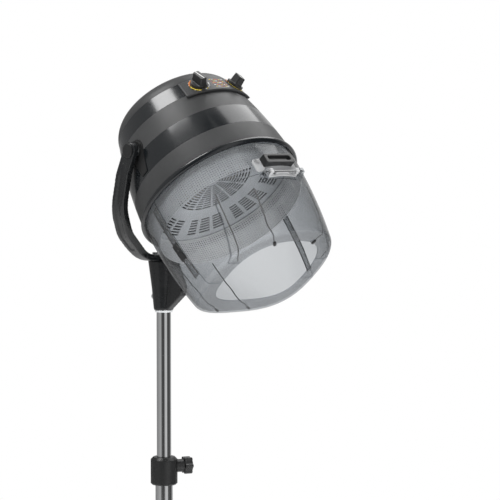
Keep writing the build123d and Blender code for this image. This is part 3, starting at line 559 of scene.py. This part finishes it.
def path_on_visor(corners):
    """Points and normals along a line through corners given as (across, forward, depth)."""
    steps = 14
    smoothing_rounds = 6
    path = []
    for start, end in zip(corners, corners[1:]):
        for step in range(steps):
            spot = [a + (b - a) * step / steps for a, b in zip(start, end)]
            path.append(on_visor(*spot))
    path.append(on_visor(*corners[-1]))
    for _ in range(smoothing_rounds):
        inner = [averaged(*path[index - 1:index + 2]) for index in range(1, len(path) - 1)]
        path = [path[0], *inner, path[-1]]
    return path


def ribbon(name, corners, width, height, body, material):
    """Low moulded strip with rounded shoulders that follows the visor's surface."""
    path = path_on_visor(corners)
    shape = bmesh.new()
    rings = []
    for index, (place, normal) in enumerate(path):
        before = path[max(index - 1, 0)][0]
        after = path[min(index + 1, len(path) - 1)][0]
        along = (after - before).normalized()
        across = along.cross(normal).normalized()
        up = across.cross(along).normalized()
        ring = []
        for x, y in RIBBON_SECTION:
            ring.append(shape.verts.new(place + across * x * width + up * (y * height - SUNK)))
        rings.append(ring)
    count = len(RIBBON_SECTION)
    for first, second in zip(rings, rings[1:]):
        for corner in range(count):
            following = (corner + 1) % count
            shape.faces.new((first[corner], first[following], second[following], second[corner]))
    shape.faces.new(rings[0])
    shape.faces.new(list(reversed(rings[-1])))
    mesh = mesh_from(name, shape)
    shade_by_angle(mesh, 50)
    new_piece(name, mesh, body, "visor_clear", material)


def rounded_block(name, spot, towards, size, sunk, body):
    """Small bevelled block on the visor's surface, its length pointing towards another spot."""
    place, normal = on_visor(*spot)
    target, _ = on_visor(*towards)
    along = (target - place).normalized()
    across = along.cross(normal).normalized()
    up = across.cross(along).normalized()
    block_frame = Matrix((along, across, up)).transposed().to_4x4()
    block_frame.translation = place + up * (size[2] / 2 - sunk)
    shape = bmesh.new()
    bmesh.ops.create_cube(shape, size=1)
    bmesh.ops.scale(shape, verts=shape.verts, vec=size)
    bmesh.ops.bevel(shape, geom=shape.edges[:], offset=min(size) * 0.28, segments=3, affect="EDGES")
    bmesh.ops.transform(shape, verts=shape.verts, matrix=block_frame)
    mesh = mesh_from(name, shape)
    shade_by_angle(mesh, 50)
    new_piece(name, mesh, body, "knob_plastic")


def mirrored(corners, direction):
    """Corners of a line on the +X side for direction 1, or on the other side for -1."""
    return [(direction * across, forward, depth) for across, forward, depth in corners]


def build_visor_lines():
    """Ribs and clips on the door and the back, and the strip down each side."""
    for direction, label in ((1, "right"), (-1, "left")):
        door_edge = mirrored(DOOR_EDGE, direction)
        door_rib = mirrored(DOOR_RIB, direction)
        back_rib = mirrored(BACK_RIB, direction)
        strip = mirrored(SIDE_STRIP, direction)
        ribbon(f"door_edge_{label}", door_edge, 0.0024, 0.0007, "visor_door", RIB)
        ribbon(f"door_rib_{label}", door_rib, 0.0024, 0.0008, "visor_door", RIB)
        ribbon(f"back_rib_{label}", back_rib, 0.0026, 0.0008, "hood", RIB)
        ribbon(f"side_strip_{label}", strip, 0.0115, 0.0012, "hood", STRIP)
        door_clip = (0.011, 0.006, 0.004)
        back_clip = (0.008, 0.005, 0.003)
        rounded_block(f"door_clip_{label}", door_rib[-1], door_rib[-2], door_clip, 0.0008, "visor_door")
        rounded_block(f"back_clip_{label}", back_rib[-1], back_rib[-2], back_clip, 0.0008, "hood")
        for edge, shift in (("front", STRIP_EDGE), ("back", -STRIP_EDGE)):
            line = [(across, forward + shift, depth) for across, forward, depth in strip]
            ribbon(f"strip_{edge}_{label}", line, 0.0018, 0.0019, "hood", RIB)
    rounded_block("side_latch", LATCH_MIDDLE, LATCH_END, (0.036, 0.015, 0.005), 0.0005, "hood")
    rounded_block("side_latch_button", LATCH_MIDDLE, LATCH_END, (0.012, 0.008, 0.0065), 0.0005, "hood")


# ---------------------------------------------------------------- printing on the controls

# Height of the print above the panel, and of a knob's pointer above the knob's foot
PRINT_LIFT = 0.0001
GRIP_TOP = 0.0218


def flat_patch(name, plane, outline, lift, thickness, body, slot, material):
    """Thin printed patch on a plane given as (origin, across, up, normal)."""
    origin, across, up, normal = plane
    shape = bmesh.new()
    corners = [shape.verts.new(origin + across * x + up * y + normal * lift) for x, y in outline]
    shape.faces.new(corners)
    extruded = bmesh.ops.extrude_face_region(shape, geom=list(shape.faces))
    top = [item for item in extruded["geom"] if isinstance(item, bmesh.types.BMVert)]
    bmesh.ops.translate(shape, verts=top, vec=normal * thickness)
    new_piece(name, mesh_from(name, shape), body, slot, material)


def knob_plane(joint_name):
    """Origin, across, up and normal of the plane under a knob, from the knob's own joint."""
    joint = joints[joint_name]
    normal = -Vector(joint["axis"]).normalized()
    across = along_surface(SIDE, normal)
    up = normal.cross(across).normalized()
    return Vector(joint["pos_m"]), across, up, normal


def arc_outline(inner, outer, start, end, steps=16):
    """Outline of an arc band between two angles in degrees."""
    turns = [radians(start + (end - start) * step / steps) for step in range(steps + 1)]
    outline = [(outer * cos(turn), outer * sin(turn)) for turn in turns]
    outline += [(inner * cos(turn), inner * sin(turn)) for turn in reversed(turns)]
    return outline


def bar_outline(start, end, half_width):
    """Outline of a bar along the plane's across direction."""
    return ((start, -half_width), (end, -half_width), (end, half_width), (start, half_width))


def build_scales():
    """Coloured arcs, each from an angle to an angle in degrees, and white ticks round each knob."""
    bands = ((35, 100, INK_RED), (105, 170, INK_ORANGE), (175, 300, INK_YELLOW), (305, 385, INK_WHITE))
    first_tick = -60
    tick_pitch = 25
    half_tick = 1.6
    on_panel = ("hood", "panel_plastic")
    for label, joint_name in (("timer", "timer_knob_turn"), ("heat", "temperature_knob_turn")):
        plane = knob_plane(joint_name)
        for number, (start, end, colour) in enumerate(bands):
            band = arc_outline(0.0185, 0.0205, start, end)
            flat_patch(f"{label}_scale_{number}", plane, band, PRINT_LIFT, 0.00012, *on_panel, colour)
        for number in range(13):
            turn = first_tick + tick_pitch * number
            tick = arc_outline(0.0208, 0.0217, turn - half_tick, turn + half_tick, steps=2)
            flat_patch(f"{label}_tick_{number}", plane, tick, PRINT_LIFT, 0.00012, *on_panel, INK_WHITE)


def build_panel_print():
    """Plain coloured bars printed on the panel between the two knobs."""
    rows = 5
    columns = 6
    row_pitch = 0.0062
    column_pitch = 0.0058
    above = 0.05
    inks = (INK_YELLOW, INK_WHITE, INK_ORANGE, INK_RED)
    panel_tree = tree_of("control_panel")
    left = Vector(joints["timer_knob_turn"]["pos_m"])
    right = Vector(joints["temperature_knob_turn"]["pos_m"])
    middle = (left + right) / 2
    outward = along_surface(middle - RIM, DOME)
    for row in range(rows):
        for column in range(columns):
            spot = middle + SIDE * (column_pitch * (column - 2.5)) + DOME * (row_pitch * (row - 2.2))
            place, normal, _, _ = panel_tree.ray_cast(spot + outward * above, -outward)
            if place is None:
                continue
            across = along_surface(SIDE, normal)
            plane = (place, across, normal.cross(across), normal)
            half_length = 0.0017 + 0.0006 * ((row + 2 * column) % 3)
            bar = bar_outline(-half_length, half_length, 0.0007)
            colour = inks[(row + column) % len(inks)]
            name = f"panel_bar_{row}_{column}"
            flat_patch(name, plane, bar, PRINT_LIFT, 0.00015, "hood", "panel_plastic", colour)


def build_pointer(knob, heading_degrees, name):
    """White pointer line let into the top of a knob's grip, along the grip's heading."""
    origin, across, up, normal = knob_plane(f"{knob}_turn")
    turn = radians(heading_degrees)
    along = across * cos(turn) + up * sin(turn)
    plane = (origin, along, normal.cross(along), normal)
    line = bar_outline(-0.012, 0.0128, 0.0009)
    flat_patch(name, plane, line, GRIP_TOP, 0.0003, knob, "knob_plastic", INK_WHITE)


build_mesh_ring()
build_diffuser()
build_visor_lines()
build_scales()
build_panel_print()
build_pointer("timer_knob", 98, "timer_pointer")
build_pointer("temperature_knob", 62, "temperature_pointer")

# Node, body it rides on, voxel size and smoothing rounds
MOULDINGS = (
    ("yoke", "fork", 0.0016, 5),
    ("pole_socket", "fork", 0.0016, 5),
    ("star_base", "base", 0.0026, 6),
    ("timer_knob", "timer_knob", 0.0006, 4),
    ("temperature_knob", "temperature_knob", 0.0006, 4),
    ("pivot_caps", "fork", 0.0006, 4),
    ("visor_grip", "hood", 0.0007, 4),
    ("clamp_knob", "clamp_knob", 0.0008, 5),
    ("control_panel", "hood", 0.0012, 10),
)
for node_name, body, voxel, rounds in MOULDINGS:
    softened(node_name, body, voxel, rounds)

# ---------------------------------------------------------------- stage, lights and camera

CAMERA_AZIMUTH = radians(41)
TOWARDS_CAMERA = Vector((-sin(CAMERA_AZIMUTH), -cos(CAMERA_AZIMUTH), 0))
CAMERA_RIGHT = Vector((cos(CAMERA_AZIMUTH), -sin(CAMERA_AZIMUTH), 0))
CAMERA_DISTANCE = 4.0
CAMERA_SHIFT = 0.073
EYE_HEIGHT = 1.326
AIM_SHIFT = 0.173
AIM_DROP = 0.22

# Brightness of the studio walls by heading: share of a turn from -X through -Y, and level
ROOM_WALLS = (
    (0.0, 0.55), (0.06, 0.10), (0.14, 0.08), (0.20, 0.75), (0.26, 0.85), (0.30, 0.12), (0.42, 0.08),
    (0.50, 0.5), (0.60, 0.9), (0.72, 0.3), (0.85, 0.4), (1.0, 0.55),
)
ROOM_STRENGTH = 0.75

# Name, place from the middle of the hood, power, width, height and whether it shows in reflections
LAMPS = (
    ("key", CAMERA_RIGHT * -1.5 + TOWARDS_CAMERA * 1.3 + UP * 1.9, 60, 1.0, 1.0, False),
    ("side_box", Vector((1.12, 0.12, 1.66)), 15, 1.5, 1.5, True),
    ("band_box", Vector((-0.779, 0.608, 1.615)), 12, 0.6, 0.8, True),
    ("under", FRONT * 0.9 - DOME * 1.5, 30, 1.2, 1.2, False),
)


def look(thing, target):
    """Point a lamp or camera at a target."""
    thing.rotation_euler = (target - thing.location).to_track_quat("-Z", "Y").to_euler()


def add_floor():
    """Round pale floor just under the casters."""
    mesh = bpy.data.meshes.new("floor")
    shape = bmesh.new()
    bmesh.ops.create_circle(shape, cap_ends=True, segments=96, radius=3.0)
    shape.to_mesh(mesh)
    shape.free()
    floor = bpy.data.objects.new("floor", mesh)
    mesh.materials.append(light_floor())
    bpy.context.scene.collection.objects.link(floor)
    floor.location.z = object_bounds()[0][2] - 0.0005


def add_lamp(name, place, target, power, width, height, in_reflections):
    """Rectangular lamp that faces a target."""
    lamp = bpy.data.lights.new(name, "AREA")
    lamp.shape = "RECTANGLE"
    lamp.size = width
    lamp.size_y = height
    lamp.energy = power
    holder = bpy.data.objects.new(name, lamp)
    holder.location = place
    holder.visible_glossy = in_reflections
    bpy.context.scene.collection.objects.link(holder)
    look(holder, target)


def add_world():
    """White surroundings for the picture's ground, and a studio room with soft walls for light."""
    world = bpy.data.worlds.new("studio")
    world.use_nodes = True
    sky = Nodes(world.node_tree, "ShaderNodeOutputWorld")
    ground = sky.add("ShaderNodeBackground", Color=(1, 1, 1, 1), Strength=1.0)
    room = sky.add("ShaderNodeBackground", Strength=ROOM_STRENGTH)
    direction = sky.add("ShaderNodeTexCoord").outputs["Generated"]
    split = sky.add("ShaderNodeSeparateXYZ")
    sky.link(direction, split.inputs[0])
    turn = sky.add("ShaderNodeMath")
    turn.operation = "ARCTAN2"
    sky.link(split.outputs["Y"], turn.inputs[0])
    sky.link(split.outputs["X"], turn.inputs[1])
    share = sky.add("ShaderNodeMapRange", From_Min=-pi, From_Max=pi)
    sky.link(turn.outputs["Value"], share.inputs["Value"])
    stops = [(position, grey(level)) for position, level in ROOM_WALLS]
    walls = sky.ramp(share.outputs["Result"], *stops, interpolation="EASE")
    sky.link(walls, room.inputs["Color"])
    camera_ray = sky.add("ShaderNodeLightPath").outputs["Is Camera Ray"]
    seen = sky.mixed(camera_ray, room.outputs["Background"], ground.outputs["Background"])
    sky.link(seen, sky.output.inputs["Surface"])
    bpy.context.scene.world = world


def add_camera():
    """Long lens at eye height, in front and to the left of the hood."""
    camera = bpy.data.cameras.new("camera")
    camera.sensor_width = 36
    camera.lens = 144
    holder = bpy.data.objects.new("camera", camera)
    eye_level = UP * EYE_HEIGHT
    holder.location = TOWARDS_CAMERA * CAMERA_DISTANCE + CAMERA_RIGHT * CAMERA_SHIFT + eye_level
    bpy.context.scene.collection.objects.link(holder)
    look(holder, CAMERA_RIGHT * AIM_SHIFT + eye_level - UP * AIM_DROP)
    bpy.context.scene.camera = holder


add_floor()
add_world()
add_camera()
hood_middle = hood_point(0, 0, 0.05)
for name, offset, power, width, height, in_reflections in LAMPS:
    add_lamp(name, hood_middle + offset, hood_middle, power, width, height, in_reflections)
bpy.context.scene.view_settings.view_transform = "Standard"
